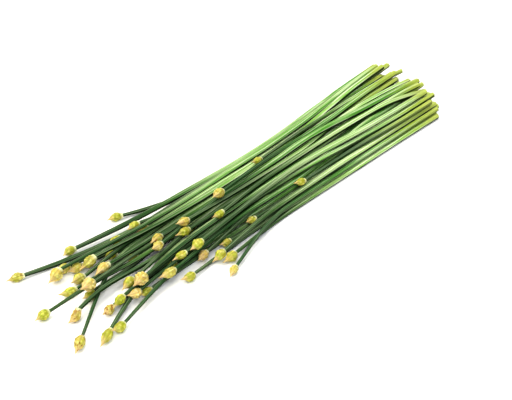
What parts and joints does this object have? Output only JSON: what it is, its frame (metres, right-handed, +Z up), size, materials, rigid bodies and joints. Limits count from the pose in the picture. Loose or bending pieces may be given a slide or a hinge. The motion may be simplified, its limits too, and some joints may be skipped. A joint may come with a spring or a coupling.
{
  "type": "garlic chive flower bunch",
  "caption": "Loose bunch of cut garlic chive flower scapes lying on its side: slim green stems, each ending in a lime-green flower head in a papery beaked sheath.",
  "frame": {"origin": "on the surface the bunch lies on, under the middle of its bounding box", "axes": "+X along the stems towards the cut ends, +Y across the bunch, +Z up"},
  "size_m": [0.4178, 0.1118, 0.0259],
  "materials": {
    "scape_stem": "waxy green stem",
    "flower_head": "papery flower sheath"
  },
  "bodies": {
    "root": {"scape_01": "scape_stem", "scape_02": "scape_stem", "scape_03": "scape_stem", "scape_04": "scape_stem", "scape_05": "scape_stem", "scape_06": "scape_stem", "scape_07": "scape_stem", "scape_08": "scape_stem", "scape_09": "scape_stem", "scape_10": "scape_stem", "scape_11": "scape_stem", "scape_12": "scape_stem", "scape_13": "scape_stem", "scape_14": "scape_stem", "scape_15": "scape_stem", "scape_16": "scape_stem", "scape_17": "scape_stem", "scape_18": "scape_stem", "scape_19": "scape_stem", "scape_20": "scape_stem", "scape_21": "scape_stem", "scape_22": "scape_stem", "scape_23": "scape_stem", "scape_24": "scape_stem", "scape_25": "scape_stem", "scape_26": "scape_stem", "scape_27": "scape_stem", "scape_28": "scape_stem", "scape_29": "scape_stem", "scape_30": "scape_stem", "scape_31": "scape_stem", "scape_32": "scape_stem", "scape_33": "scape_stem", "scape_34": "scape_stem", "scape_35": "scape_stem", "scape_36": "scape_stem", "scape_37": "scape_stem", "scape_38": "scape_stem", "scape_39": "scape_stem", "scape_40": "scape_stem", "scape_41": "scape_stem", "scape_42": "scape_stem", "scape_43": "scape_stem", "scape_44": "scape_stem", "scape_45": "scape_stem", "scape_46": "scape_stem", "scape_47": "scape_stem", "scape_48": "scape_stem", "scape_49": "scape_stem", "scape_50": "scape_stem", "scape_51": "scape_stem", "scape_52": "scape_stem", "scape_53": "scape_stem", "scape_54": "scape_stem", "scape_55": "scape_stem"}
  },
  "joints": []
}
